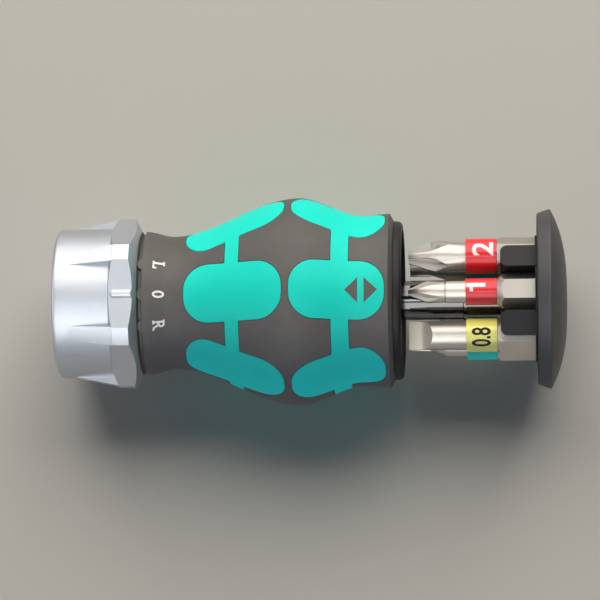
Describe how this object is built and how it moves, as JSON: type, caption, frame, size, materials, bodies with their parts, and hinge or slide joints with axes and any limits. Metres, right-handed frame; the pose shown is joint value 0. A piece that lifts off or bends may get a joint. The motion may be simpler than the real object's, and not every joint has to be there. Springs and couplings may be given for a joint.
{
  "type": "ratcheting screwdriver",
  "caption": "Stubby ratcheting bit screwdriver with a metal selector ring, two-tone grip and a pull-out magazine of hexagonal insert bits.",
  "frame": {"origin": "centre of the bit socket's mouth, in the nose face's plane", "axes": "+X along the tool axis from the bit socket to the end cap, +Z through the ring's index mark, +Y square to both"},
  "size_m": [0.0995, 0.0405, 0.0404],
  "materials": {
    "satin_zinc": "satin blasted and clear-coated die casting",
    "tool_steel": "fine-turned, nickel plated",
    "hardened_steel": "phosphated",
    "spring_steel": "oiled dark spring steel",
    "bronze": "sintered",
    "green_plastic": "moulded, fine spark-eroded texture",
    "black_elastomer": "moulded soft grip, matt",
    "black_plastic": "moulded, fine matt texture",
    "gloss_black": "moulded, glossy",
    "bit_steel": "satin, warm bright nickel",
    "red_sleeve": "glossy plastic sleeve",
    "yellow_sleeve": "glossy plastic sleeve",
    "green_sleeve": "glossy plastic sleeve"
  },
  "bodies": {
    "handle": {"handle_core": "green_plastic", "soft_grip": "black_elastomer", "mouth_ring": "black_plastic", "ratchet_body": "hardened_steel", "spindle_bush": "bronze", "pawl_pins": "tool_steel", "pawl_springs": "spring_steel", "detent_spring": "spring_steel", "guide_rod": "tool_steel", "rod_stop": "hardened_steel"},
    "selector": {"selector_ring": "satin_zinc"},
    "spindle": {"bit_holder": "tool_steel", "nose_snap_ring": "spring_steel", "nose_washer": "hardened_steel", "socket_magnet": "tool_steel", "ratchet_gear": "hardened_steel", "rear_circlip": "spring_steel"},
    "left_pawl": {"pawl_left": "hardened_steel"},
    "right_pawl": {"pawl_right": "hardened_steel"},
    "ball": {"detent_ball": "tool_steel"},
    "magazine": {"guide_column": "gloss_black", "column_sleeve": "gloss_black", "bit_crown": "black_plastic", "end_cap": "black_plastic"},
    "bit_cross_2_set": {"bit_cross_2": "bit_steel", "sleeve_cross_2": "red_sleeve"},
    "bit_cross_1_set": {"bit_cross_1": "bit_steel", "sleeve_cross_1": "red_sleeve"},
    "bit_slotted_set": {"bit_slotted": "bit_steel", "sleeve_slotted": "yellow_sleeve"},
    "bit_star_1_set": {"bit_star_1": "bit_steel", "sleeve_star_1": "green_sleeve"},
    "bit_star_2_set": {"bit_star_2": "bit_steel", "sleeve_star_2": "green_sleeve"},
    "bit_star_3_set": {"bit_star_3": "bit_steel", "sleeve_star_3": "green_sleeve"}
  },
  "joints": [
    {"name": "selector_turn", "type": "hinge", "parent": "handle", "child": "selector", "pos_m": [0.009, 0, 0], "axis": [1, 0, 0], "range_deg": [-26, 26]},
    {"name": "spindle_spin", "type": "hinge", "parent": "handle", "child": "spindle", "pos_m": [0.009, 0, 0], "axis": [1, 0, 0], "continuous": true},
    {"name": "pawl_left_swing", "type": "hinge", "parent": "handle", "child": "left_pawl", "pos_m": [0.008, 0.00821, 0.00554], "axis": [-1, 0, 0], "range_deg": [0, 15], "stiffness_Nm_per_rad": 0.001, "springref_deg": -11.46},
    {"name": "pawl_right_swing", "type": "hinge", "parent": "handle", "child": "right_pawl", "pos_m": [0.008, -0.00821, 0.00554], "axis": [1, 0, 0], "range_deg": [0, 15], "stiffness_Nm_per_rad": 0.001, "springref_deg": -11.46},
    {"name": "detent_ball_slide", "type": "slide", "parent": "handle", "child": "ball", "axis": [0, 0, -1], "range_m": [0, 0.0003], "stiffness_N_per_m": 20, "springref_m": -0.0005},
    {"name": "magazine_slide", "type": "slide", "parent": "handle", "child": "magazine", "axis": [-1, 0, 0], "range_m": [0, 0.0277]},
    {"name": "bit_cross_2_slide", "type": "slide", "parent": "magazine", "child": "bit_cross_2_set", "axis": [-1, 0, 0], "range_m": [0, 0.0075]},
    {"name": "bit_cross_1_slide", "type": "slide", "parent": "magazine", "child": "bit_cross_1_set", "axis": [-1, 0, 0], "range_m": [0, 0.0075]},
    {"name": "bit_slotted_slide", "type": "slide", "parent": "magazine", "child": "bit_slotted_set", "axis": [-1, 0, 0], "range_m": [0, 0.0075]},
    {"name": "bit_star_1_slide", "type": "slide", "parent": "magazine", "child": "bit_star_1_set", "axis": [-1, 0, 0], "range_m": [0, 0.0075]},
    {"name": "bit_star_2_slide", "type": "slide", "parent": "magazine", "child": "bit_star_2_set", "axis": [-1, 0, 0], "range_m": [0, 0.0075]},
    {"name": "bit_star_3_slide", "type": "slide", "parent": "magazine", "child": "bit_star_3_set", "axis": [-1, 0, 0], "range_m": [0, 0.0075]}
  ]
}
